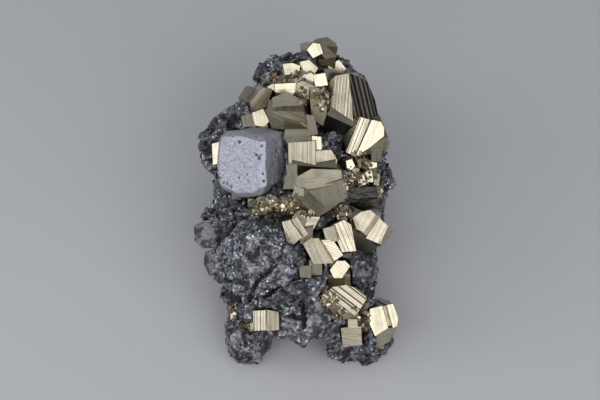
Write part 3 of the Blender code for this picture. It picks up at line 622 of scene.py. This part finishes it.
def scatter(surface, shapes, name, density, mask, sizes, seed):
    """Grows small crystals on a surface, where its mask attribute allows, as one joined mesh."""
    tree = bpy.data.node_groups.new(name, "GeometryNodeTree")
    for side in ("INPUT", "OUTPUT"):
        tree.interface.new_socket("Geometry", in_out=side, socket_type="NodeSocketGeometry")
    given = tree.nodes.new("NodeGroupInput")
    result = tree.nodes.new("NodeGroupOutput")
    allowed = add_node(tree, "GeometryNodeInputNamedAttribute", Name=mask)
    crowd = math_node("MULTIPLY", allowed.outputs["Attribute"], density / (MM * MM))
    points = add_node(
        tree, "GeometryNodeDistributePointsOnFaces", Mesh=given.outputs[0], Density=crowd, Seed=seed
    )
    source = add_node(
        tree, "GeometryNodeCollectionInfo", Collection=shapes, Separate_Children=True, Reset_Children=True
    )
    turn = tree.nodes.new("FunctionNodeRandomValue")
    turn.data_type = "FLOAT_VECTOR"
    fill_inputs(turn, Max=(math.tau, math.tau, math.tau), Seed=seed * 10 + 1)
    low, high = (size ** 0.5 for size in sizes)
    size = add_node(tree, "FunctionNodeRandomValue", i2=low, i3=high, Seed=seed * 10 + 2)
    tone = add_node(tree, "FunctionNodeRandomValue", Seed=seed * 10 + 3)
    placed = add_node(
        tree, "GeometryNodeInstanceOnPoints", Points=points.outputs["Points"], Instance=source.outputs[0],
        Pick_Instance=True, Rotation=turn.outputs["Value"],
        Scale=math_node("MULTIPLY", size.outputs[1], size.outputs[1]),
    )
    stored = tree.nodes.new("GeometryNodeStoreNamedAttribute")
    stored.domain = "INSTANCE"
    fill_inputs(stored, Geometry=placed.outputs["Instances"], Name="tone", Value=tone.outputs[1])
    real = add_node(tree, "GeometryNodeRealizeInstances", Geometry=stored.outputs["Geometry"])
    tree.links.new(real.outputs["Geometry"], result.inputs[0])
    piece = bpy.data.objects.new(name, surface.data.copy())
    bpy.context.scene.collection.objects.link(piece)
    modifier = piece.modifiers.new("small crystals", "NODES")
    modifier.node_group = tree
    bake_modifiers(piece)
    bpy.data.node_groups.remove(tree)
    return shade(piece, False)


# Growth lines of pyrite


def longest_edge(face):
    longest = max(face.edges, key=lambda edge: edge.calc_length())
    return (longest.verts[1].co - longest.verts[0].co).normalized()


def lines_of(face, settings, chance):
    """A face's growth lines and their direction: the picture's, or its own along its longest edge."""
    seen = picture_place(face.calc_center_median_weighted())
    nearest = min(GROWTH_LINES, key=lambda lines: (seen - Vector(lines.seen)).length)
    normal = face.normal
    towards = normal.dot(TO_VIEWER)
    if (seen - Vector(nearest.seen)).length > LINES_REACH or towards < LEAST_TOWARDS:
        # Listed bright faces that face the viewer get light tones as painted light, and a plain face's
        # grooves get painted shade.
        listed_bright = any((seen - Vector(middle)).length < LINES_REACH for middle in BRIGHT_FACES)
        tone = chance.uniform(*(PAINTED_LIT_TONES if listed_bright and towards > PAINTED_LIT_TOWARDS else PLAIN_TONES))
        widths = (settings.widest_rib / MM, PLAIN_GROOVE, PLAIN_RELIEF)
        return Lines(seen, None, *widths, tone, tone + GROOVE_SHADING), longest_edge(face)
    across, down = nearest.direction
    flat = TO_RIGHT * across - TO_TOP * down
    return nearest, (flat - TO_VIEWER * (flat.dot(normal) / towards)).normalized()


def rib_places(low, high, lines, chance):
    """Where ribs and the grooves between them begin, from one edge of a crystal face to the other."""
    place = low + chance.uniform(0.3, 1.0) * lines.groove * MM
    cuts = []
    while place < high - NARROWEST_STRIP:
        cuts.append(place)
        share = chance.random()
        if len(cuts) % 2:
            place += lines.rib * MM * (0.2 + 1.1 * share * share)
        else:
            place += lines.groove * MM * (0.5 + 0.8 * share)
    return cuts


def strip_of(face, across, cuts):
    """The number of the strip that a piece of a crystal face lies in."""
    middle = face.calc_center_median().dot(across)
    return sum(1 for cut in cuts if middle > cut)


def split_in_ribs(bm, face, layers, number, settings, chance):
    """Cuts a flat crystal face along its growth lines and raises every second strip."""
    marks, tones = layers
    lines, along = lines_of(face, settings, chance)
    normal = face.normal.copy()
    across = normal.cross(along).normalized()
    face[marks] = number
    reaches = [vertex.co.dot(across) for vertex in face.verts]
    cuts = rib_places(min(reaches), max(reaches), lines, chance)
    faces = [face]
    for cut in cuts:
        geometry = set(faces)
        for item in faces:
            geometry.update(item.edges)
            geometry.update(item.verts)
        result = bmesh.ops.bisect_plane(
            bm, geom=list(geometry), dist=MERGE_DISTANCE / 2, plane_co=across * cut, plane_no=across
        )
        faces = [
            item for item in result["geom"]
            if isinstance(item, bmesh.types.BMFace) and item[marks] == number
        ]
    heights = [lines.relief * MM * chance.uniform(0.3, 1.0) for cut in cuts]
    shades = [lines.tone + chance.uniform(-TONE_SPREAD, TONE_SPREAD) for cut in cuts]
    raised = []
    for item in faces:
        strip = strip_of(item, across, cuts)
        # Painted shade: the grooves get the darker groove tone.
        item[tones] = shades[strip - 1] if strip % 2 else lines.groove_tone
        if strip % 2:
            raised.append(item)
    if raised:
        for top in bmesh.ops.extrude_discrete_faces(bm, faces=raised)["faces"]:
            lift = normal * heights[strip_of(top, across, cuts) - 1]
            for vertex in top.verts:
                vertex.co += lift
    return along


def map_lines(bm, marks, directions):
    """UV coordinates in millimetres on every face: across the growth lines, then along them."""
    layer = bm.loops.layers.uv.new("growth")
    for face in bm.faces:
        along = directions.get(face[marks])
        if along is None or abs(along.dot(face.normal)) > 0.3:
            along = longest_edge(face)
        across = face.normal.cross(along).normalized()
        for loop in face.loops:
            shift = GROWTH_SHIFT * face[marks]
            loop[layer].uv = (loop.vert.co.dot(across) / MM + shift, loop.vert.co.dot(along) / MM)


def crystal_with_lines(name, settings, chance):
    """A copy of a pyrite solid with flat faces, growth ribs and a tone for each face."""
    bm = flat_faced_mesh(name)
    marks = bm.faces.layers.int.new("marks")
    tones = bm.faces.layers.float.new("tone")
    directions = {}
    faces = [face for face in bm.faces if face.calc_area() > settings.smallest_face * MM * MM]
    for face in bm.faces:
        face[tones] = chance.uniform(*SMALL_FACE_TONES)
    for number, face in enumerate(faces, start=1):
        directions[number] = split_in_ribs(bm, face, (marks, tones), number, settings, chance)
    bmesh.ops.recalc_face_normals(bm, faces=bm.faces[:])
    map_lines(bm, marks, directions)
    bm.faces.layers.int.remove(marks)
    return shade(new_piece(f"{name}_lined", bm), False)


# Materials


def new_material(name):
    material = bpy.data.materials.new(name)
    material.use_nodes = True
    return material, material.node_tree, material.node_tree.nodes["Principled BSDF"]


def facet_group():
    """Tiny flat crystal facets: a shade for each facet, and normals that tip each one its own way."""
    name = "Mineral facets"
    if name in bpy.data.node_groups:
        return bpy.data.node_groups[name]
    tree = bpy.data.node_groups.new(name, "ShaderNodeTree")
    for label, side, kind in (
        ("Scale", "INPUT", "Float"), ("Tip", "INPUT", "Float"), ("Shade", "OUTPUT", "Float"),
        ("Normal", "OUTPUT", "Vector"),
    ):
        tree.interface.new_socket(label, in_out=side, socket_type=f"NodeSocket{kind}")
    given = tree.nodes.new("NodeGroupInput").outputs
    place = tree.nodes.new("ShaderNodeTexCoord").outputs["Object"]
    cells = add_node(tree, "ShaderNodeTexVoronoi", Vector=place, Scale=given["Scale"]).outputs["Color"]
    surface = tree.nodes.new("ShaderNodeNewGeometry").outputs["Normal"]
    vectors = "ShaderNodeVectorMath"
    centred = math_node("SUBTRACT", cells, (0.5, 0.5, 0.5), kind=vectors)
    tipped = math_node("MULTIPLY", centred, given["Tip"], kind=vectors)
    leaning = math_node("ADD", surface, tipped, kind=vectors)
    level = math_node("NORMALIZE", leaning, kind=vectors)
    parts = add_node(tree, "ShaderNodeSeparateColor", i0=cells)
    add_node(tree, "NodeGroupOutput", Shade=parts.outputs[0], Normal=level)
    return tree


def facets(tree, scale, tip):
    """The shade and the normal of facets of one size."""
    made = tree.nodes.new("ShaderNodeGroup")
    made.node_tree = facet_group()
    fill_inputs(made, Scale=scale, Tip=tip)
    return made.outputs["Shade"], made.outputs["Normal"]


def mottle(tree, scale, detail=4.0, roughness=0.6):
    """Cloudy variation over the object, from 0 to 1."""
    place = tree.nodes.new("ShaderNodeTexCoord").outputs["Object"]
    return add_node(
        tree, "ShaderNodeTexNoise", Vector=place, Scale=scale, Detail=detail, Roughness=roughness
    ).outputs["Fac"]


def bump(height, strength, depth, **normal):
    """Normals that follow a height map, on top of other normals where they are given."""
    made = add_node(
        height.id_data, "ShaderNodeBump", Height=height, Strength=strength, Distance=depth, **normal
    )
    return made.outputs["Normal"]


def stored_value(tree, name):
    made = tree.nodes.new("ShaderNodeAttribute")
    made.attribute_name = name
    return made.outputs["Fac"]


def crust_material(name, settings, stain, metal, glint_scale):
    """Dull dark crust with glinting facets. Its hollows and clefts are painted darker than its knobs as
    painted shade.
    """
    material, tree, shader = new_material(name)
    facet, tipped = facets(tree, glint_scale, 0.75)
    high = stored_value(tree, "high")
    patches = remap(mottle(tree, 170.0), 0.35, 0.65, 0.4, 1.3)
    # Painted shade: the height mask gives the hollows and clefts the dark colour and the knobs the light
    # one.
    share = math_node("MULTIPLY", remap(high, 0.15, 0.8), patches)
    body = blend_colours(share, settings.dark, settings.light)
    grit = remap(mottle(tree, 1500.0, 5.0, 0.7), 0.5, 0.62, 0.0, 0.85)
    body = blend_colours(grit, body, [part * 0.4 for part in settings.dark])
    # Painted shade also keeps the pale colour off the hollows.
    knobs = remap(high, 0.2, 0.7, 0.1, 0.75)
    pale = math_node("MULTIPLY", stored_value(tree, "pale"), knobs)
    body = blend_colours(pale, body, PALE_CRUST)
    stains = remap(mottle(tree, 110.0), 0.58, 0.75, 0.0, 0.55)
    body = blend_colours(stains, body, stain)
    cluster = remap(stored_value(tree, "glint"), 0.2, 2.4, 0.0, 0.34)
    glint = remap(math_node("ADD", facet, cluster), 0.74, 0.92)
    # Painted shade: glints are dimmed in the hollows.
    shown = math_node("MULTIPLY", glint, remap(high, 0.2, 0.6, 0.1, 1.0))
    fill_inputs(
        shader,
        Base_Color=blend_colours(shown, body, SILVER_FACET),
        Metallic=remap(shown, 0.0, 1.0, metal * 0.3, 0.9),
        Roughness=remap(facet, 0.2, 0.95, 0.62, 0.2),
        Normal=bump(mottle(tree, 3400.0, 6.0, 0.7), 0.6, 0.18 * MM, Normal=tipped),
    )
    return material


def grain_material(name, dark, light, roughness):
    """Small metallic crystals, each with its own tone."""
    material, tree, shader = new_material(name)
    tone = stored_value(tree, "tone")
    wear = mottle(tree, 2600.0)
    body = blend_colours(remap(tone, 0.25, 1.0), dark, light)
    fill_inputs(
        shader,
        Base_Color=blend_colours(remap(wear, 0.45, 0.7, 0.0, 0.5), body, dark),
        Roughness=remap(tone, 0.0, 1.0, roughness[1], roughness[0]),
        Metallic=0.9,
        Normal=bump(wear, 0.25, 0.06 * MM),
    )
    return material


def galena_material(settings):
    """Lead-grey, finely granular and half dull, with darker specks and painted shade in its pits."""
    material, tree, shader = new_material("galena_grey")
    facet, tipped = facets(tree, 4200.0, 0.22)
    specks = remap(mottle(tree, 3300.0, 5.0, 0.75), 0.5, 0.66, 0.0, 0.75)
    body = blend_colours(specks, settings.body, settings.tarnish)
    clouds = remap(mottle(tree, 260.0), 0.3, 0.7, 0.0, 0.5)
    body = blend_colours(clouds, body, [part * 0.72 for part in settings.body])
    # Painted shade: the pits are darkened according to their depth.
    pits = remap(stored_value(tree, "high"), 0.15, 0.8, 0.8, 0.0)
    body = blend_colours(pits, body, GALENA_PIT_SHADE)
    glint = remap(facet, 0.8, 1.0, 0.0, 0.4)
    fill_inputs(
        shader,
        Base_Color=blend_colours(glint, body, GALENA_FACET),
        Roughness=remap(facet, 0.0, 1.0, 0.5, 0.32),
        Metallic=0.6,
        Normal=bump(mottle(tree, 2800.0, 6.0, 0.7), 0.55, 0.12 * MM, Normal=tipped),
    )
    return material


def pyrite_material(settings):
    """Pale brass metal with fine growth lines and olive tarnish. Each face's tone paints its light and
    shade as well as its dulling and tarnish.
    """
    material, tree, shader = new_material("pyrite_brass")
    lines = tree.nodes.new("ShaderNodeUVMap")
    lines.uv_map = "growth"
    stretch = add_node(tree, "ShaderNodeMapping", Vector=lines.outputs["UV"], Scale=(7.0, 0.16, 1.0))
    along_lines = stretch.outputs["Vector"]
    streaks = add_node(
        tree, "ShaderNodeTexNoise", Vector=along_lines, Scale=1.0, Detail=5.0, Roughness=0.65
    ).outputs["Fac"]
    tone = stored_value(tree, "tone")
    clouds = mottle(tree, 420.0, 5.0)
    cloudy = remap(clouds, 0.45, 0.7, 0.0, 0.3)
    # Painted light and shade: the face's tone makes it brighter or duller, with random cloudy dulling
    # added.
    shade_and_dulling = math_node("ADD", remap(tone, 0.0, 1.0, 0.0, 0.85), cloudy)
    body = blend_colours(shade_and_dulling, settings.bright, settings.dull)
    # Painted shade along the fine growth lines.
    line_shade = remap(streaks, 0.36, 0.5, 0.5, 0.0)
    body = blend_colours(line_shade, body, PYRITE_LINE_SHADE)
    stains = remap(mottle(tree, 1500.0, 6.0, 0.7), 0.62, 0.72, 0.0, 0.6)
    body = blend_colours(stains, body, PYRITE_STAIN)
    # High tones paint shade on shaded faces and undersides as well as tarnish.
    tarnish = remap(tone, 0.95, 1.9, 0.0, 0.96)
    haze = remap(clouds, 0.3, 0.8, 0.0, 0.1)
    fill_inputs(
        shader,
        Base_Color=blend_colours(tarnish, body, settings.tarnish),
        Metallic=1.0,
        Roughness=math_node("ADD", remap(tone, 0.0, 1.4, 0.16, 0.38), haze),
        Normal=bump(streaks, 0.32, 0.06 * MM),
    )
    return material


def quartz_material(settings):
    """Clear, slightly cloudy crystal."""
    material, tree, shader = new_material("quartz_clear")
    clouds = mottle(tree, 620.0, 6.0)
    cloudy = remap(clouds, 0.45, 0.56)
    fill_inputs(
        shader,
        Base_Color=blend_colours(cloudy, settings.body, QUARTZ_CLOUD),
        Roughness=remap(clouds, 0.3, 0.7, 0.12, 0.4),
        Transmission_Weight=0.65,
        IOR=QUARTZ_IOR,
        Normal=bump(mottle(tree, 900.0, 5.0), 0.8, 0.4 * MM),
    )
    return material


def sphalerite_material(settings):
    """Nearly black resinous crystal with a brown glow."""
    material, tree, shader = new_material("sphalerite_brown")
    clouds = mottle(tree, 380.0, 5.0)
    glow = remap(clouds, 0.42, 0.66)
    fill_inputs(
        shader,
        Base_Color=blend_colours(glow, settings.dark, settings.glow),
        Roughness=remap(clouds, 0.3, 0.7, 0.08, 0.28),
        IOR=SPHALERITE_IOR,
        Normal=bump(mottle(tree, 700.0, 6.0), 0.9, 0.4 * MM),
    )
    return material


def floor_material(settings):
    """A pale floor, a little uneven in tone."""
    material, tree, shader = new_material("floor_pale")
    uneven = remap(mottle(tree, 9.0), 0.3, 0.7)
    darker = [part * 0.97 for part in settings.floor_colour]
    fill_inputs(
        shader,
        Base_Color=blend_colours(uneven, settings.floor_colour, darker),
        Roughness=0.85,
        Specular_IOR_Level=0.2,
    )
    return material


# Operators


class SPECIMEN_OT_stage(bpy.types.Operator):
    """Lay the pale floor, set the soft lights and place the camera at the picture's viewing angle"""

    bl_idname = "specimen.stage"
    bl_label = "Stage"

    def execute(self, context):
        settings = context.scene.specimen_stage
        bm = bmesh.new()
        bmesh.ops.create_grid(bm, x_segments=1, y_segments=1, size=FLOOR_REACH)
        floor = new_piece("floor", bm)
        floor.data.materials.append(floor_material(settings))
        for name, direction, size, share in SOFT_LIGHTS:
            self.add_light(context, name, direction, size, settings.power * share)
        world = bpy.data.worlds.new("surroundings")
        world.use_nodes = True
        background = world.node_tree.nodes["Background"]
        fill_inputs(background, Color=SKY, Strength=settings.sky)
        context.scene.world = world
        context.scene.view_settings.view_transform = "Standard"
        self.add_camera(context)
        return {"FINISHED"}

    def add_light(self, context, name, direction, size, power):
        data = bpy.data.lights.new(name, "AREA")
        data.energy = power
        data.size = size
        light = bpy.data.objects.new(name, data)
        toward = Vector(direction).normalized()
        light.location = SIGHT_TARGET + toward * LIGHT_DISTANCE
        light.rotation_euler = toward.to_track_quat("Z", "Y").to_euler()
        context.scene.collection.objects.link(light)

    def add_camera(self, context):
        data = bpy.data.cameras.new("camera")
        data.sensor_width = SENSOR_WIDTH
        data.lens = SIGHT_FOCAL_PIXELS / PICTURE_WIDTH * SENSOR_WIDTH
        data.clip_start = 0.01
        camera = bpy.data.objects.new("camera", data)
        turn = Matrix((TO_RIGHT, TO_TOP, TO_VIEWER)).transposed().to_4x4()
        turn.translation = SIGHT_TARGET + TO_VIEWER * SIGHT_DISTANCE
        camera.matrix_world = turn
        context.scene.collection.objects.link(camera)
        context.scene.camera = camera


class SPECIMEN_OT_matrix(bpy.types.Operator):
    """Give the matrix its rough crust and grow glinting grains on it"""

    bl_idname = "specimen.matrix"
    bl_label = "Matrix"

    def execute(self, context):
        settings = context.scene.specimen_matrix
        crust = rough_mass("matrix", "matrix_crust", settings, settings.pits)
        material = crust_material("crust_dark", settings, CRUST_STAIN, 0.6, 2100.0)
        finish_piece(crust, material, ["matrix"])
        shapes = grain_shapes("grain", (cube_crystal, octahedron_crystal, flat_cube_crystal))
        sizes = (SMALLEST_GRAIN, settings.grain_size)
        places = (settings.grains_per_mm2, "glint", sizes, GRAIN_SEED)
        grains = scatter(crust, shapes, "matrix_grains", *places)
        finish_piece(grains, grain_material("grain_silver", *MATRIX_GRAIN))
        return {"FINISHED"}


class SPECIMEN_OT_etched_galena(bpy.types.Operator):
    """Corrode the large lump of galena and grow fine grains on it"""

    bl_idname = "specimen.etched_galena"
    bl_label = "Etched galena"

    def execute(self, context):
        settings = context.scene.specimen_etched
        node = "etched_galena_crystal"
        lump = rough_mass(node, "etched_galena_skin", settings, settings.knobs * ETCHED_PIT_SHARE)
        material = crust_material("etched_silver", settings, ETCHED_STAIN, 0.9, 2600.0)
        finish_piece(lump, material, [node])
        shapes = grain_shapes("etched_grain", (cube_crystal, flat_cube_crystal))
        places = (ETCHED_GRAINS_PER_MM2, "glint", ETCHED_GRAIN_SIZES, ETCHED_SEED)
        grains = scatter(lump, shapes, "etched_grains", *places)
        finish_piece(grains, grain_material("etched_grain_silver", *ETCHED_GRAIN))
        return {"FINISHED"}


class SPECIMEN_OT_galena_crystal(bpy.types.Operator):
    """Blunt the galena crystal's edges and sink its pits"""

    bl_idname = "specimen.galena_crystal"
    bl_label = "Galena crystal"

    def execute(self, context):
        settings = context.scene.specimen_galena
        crystal = remesh(new_piece("galena_crystal_worn", node_mesh("galena_crystal")), settings.skin)
        bm = bmesh.new()
        bm.from_mesh(crystal.data)
        for turn in range(settings.rounding):
            bmesh.ops.smooth_vert(
                bm, verts=bm.verts[:], factor=0.5, use_axis_x=True, use_axis_y=True, use_axis_z=True
            )
        bm.to_mesh(crystal.data)
        bm.free()
        self.pit(crystal)
        shade(crystal, True)
        finish_piece(crystal, galena_material(settings), ["galena_crystal"])
        return {"FINISHED"}

    def pit(self, crystal):
        """Sinks the picture's pits and an uneven surface into the crystal."""
        mesh = crystal.data
        highs = []
        normals = [vertex.normal.copy() for vertex in mesh.vertices]
        for vertex, normal in zip(mesh.vertices, normals):
            place = vertex.co.copy()
            waves = noise.noise(place / GALENA_WAVE) * 0.1 + noise.noise(place / GALENA_RIPPLE) * 0.05
            fine = noise.noise(place / GALENA_GRAIN) * 0.025
            small_pit = max(0.0, noise.noise(place / SMALL_PIT + Vector((4, 9, 2))) - 0.5) * 0.6
            side = smooth_step(0.3, 0.8, normal.dot(TO_RIGHT))
            steps = side * 0.3 * max(0.0, noise.noise(place / GALENA_STEP + Vector((1, 2, 3))))
            sunk = self.pit_depth(place, normal)
            height = waves + fine - small_pit - steps - sunk
            vertex.co = place + normal * height * MM
            # The pit depth is kept so that the material can paint shade into the pits.
            highs.append(min(max(0.85 - (sunk + small_pit) * 2.4, 0.0), 1.0))
        set_values(crystal, "high", highs)
        mesh.update()

    def pit_depth(self, place, normal):
        if normal.dot(TO_VIEWER) < 0.05:
            return 0.0
        pixel = picture_place(place)
        edge = 1.0 + 0.35 * noise.noise(place / RAGGED_EDGE)
        deepest = 0.0
        for middle, radius, depth in GALENA_PITS:
            away = (pixel - Vector(middle)).length / (radius * PIT_RADIUS_SHARE * edge)
            deepest = max(deepest, depth * (1.0 - smooth_step(0.45, 1.1, away)))
        return deepest


class SPECIMEN_OT_pyrite(bpy.types.Operator):
    """Cut growth lines into the pyrite crystals and give them their brassy metal"""

    bl_idname = "specimen.pyrite"
    bl_label = "Pyrite crystals"

    def execute(self, context):
        settings = context.scene.specimen_pyrite
        chance = random.Random(RIB_SEED)
        material = pyrite_material(settings)
        for name in PYRITE_NODES:
            crystal = crystal_with_lines(name, settings, chance)
            finish_piece(crystal, material, [name])
        return {"FINISHED"}


class SPECIMEN_OT_druse(bpy.types.Operator):
    """Grow crowds of fine pyrite crystals in the picture's patches"""

    bl_idname = "specimen.druse"
    bl_label = "Fine pyrite"

    def execute(self, context):
        settings = context.scene.specimen_druse
        ground = self.ground()
        shapes = grain_shapes("small_pyrite", (cube_crystal, five_sided_crystal))
        sizes = (SMALLEST_PYRITE, settings.size)
        crowd = scatter(ground, shapes, "fine_pyrite", settings.per_mm2, "druse", sizes, DRUSE_SEED)
        bpy.data.objects.remove(ground, do_unlink=True)
        finish_piece(crowd, grain_material("pyrite_fine", *FINE_PYRITE))
        return {"FINISHED"}

    def ground(self):
        """An even skin over matrix and pyrite, which holds the patches that fine crystals grow on."""
        skin = remesh(new_piece("druse_ground", node_mesh("matrix", *PYRITE_NODES)), GROUND_SKIN)
        values = []
        for vertex in skin.data.vertices:
            facing = smooth_step(-0.1, 0.3, vertex.normal.dot(TO_VIEWER))
            values.append(in_patches(vertex.co, DRUSE_PATCHES) * facing)
        set_values(skin, "druse", values)
        return skin


class SPECIMEN_OT_quartz(bpy.types.Operator):
    """Round the quartz crystals' edges and make them clear"""

    bl_idname = "specimen.quartz"
    bl_label = "Quartz crystals"

    def execute(self, context):
        settings = context.scene.specimen_quartz
        material = quartz_material(settings)
        for name in ("quartz_crystal_upper", "quartz_crystal_lower"):
            finish_piece(worn_crystal(name, settings.rounding), material, [name])
        return {"FINISHED"}


class SPECIMEN_OT_sphalerite(bpy.types.Operator):
    """Round the sphalerite crystal's edges and give it its dark brown body"""

    bl_idname = "specimen.sphalerite"
    bl_label = "Sphalerite crystal"

    def execute(self, context):
        settings = context.scene.specimen_sphalerite
        crystal = worn_crystal("sphalerite_crystal", SPHALERITE_ROUNDING)
        finish_piece(crystal, sphalerite_material(settings), ["sphalerite_crystal"])
        return {"FINISHED"}


def worn_crystal(name, width):
    """A copy of a small crystal with worn edges."""
    bm = flat_faced_mesh(name)
    bmesh.ops.bevel(
        bm, geom=bm.edges[:], offset=width, offset_type="OFFSET", segments=2, profile=0.5,
        affect="EDGES", clamp_overlap=True, material=-1,
    )
    bmesh.ops.triangulate(bm, faces=bm.faces[:])
    bmesh.ops.recalc_face_normals(bm, faces=bm.faces[:])
    return new_piece(f"{name}_worn", bm)


OPERATORS = (
    SPECIMEN_OT_stage, SPECIMEN_OT_matrix, SPECIMEN_OT_etched_galena, SPECIMEN_OT_galena_crystal,
    SPECIMEN_OT_pyrite, SPECIMEN_OT_druse, SPECIMEN_OT_quartz, SPECIMEN_OT_sphalerite,
)
SETTINGS = {
    "specimen_stage": SpecimenStageSettings,
    "specimen_matrix": SpecimenMatrixSettings,
    "specimen_etched": SpecimenEtchedSettings,
    "specimen_galena": SpecimenGalenaSettings,
    "specimen_pyrite": SpecimenPyriteSettings,
    "specimen_druse": SpecimenDruseSettings,
    "specimen_quartz": SpecimenQuartzSettings,
    "specimen_sphalerite": SpecimenSphaleriteSettings,
}


class SPECIMEN_PT_panel(bpy.types.Panel):
    """Lists the specimen's steps and settings"""

    bl_idname = "SPECIMEN_PT_panel"
    bl_label = "Galena specimen"
    bl_space_type = "VIEW_3D"
    bl_region_type = "UI"
    bl_category = "Specimen"

    def draw(self, context):
        for operator in OPERATORS:
            self.layout.operator(operator.bl_idname)
        for name, group in SETTINGS.items():
            box = self.layout.box()
            box.label(text=name.replace("_", " ").capitalize())
            for field in group.__annotations__:
                box.prop(getattr(context.scene, name), field)


CLASSES = (*SETTINGS.values(), *OPERATORS, SPECIMEN_PT_panel)


def register():
    for item in CLASSES:
        bpy.utils.register_class(item)
    for name, group in SETTINGS.items():
        setattr(bpy.types.Scene, name, PointerProperty(type=group))


def unregister():
    for name in SETTINGS:
        delattr(bpy.types.Scene, name)
    for item in reversed(CLASSES):
        bpy.utils.unregister_class(item)


def main():
    register()
    for operator in OPERATORS:
        group, action = operator.bl_idname.split(".")
        getattr(getattr(bpy.ops, group), action)()


if __name__ == "__main__":
    main()
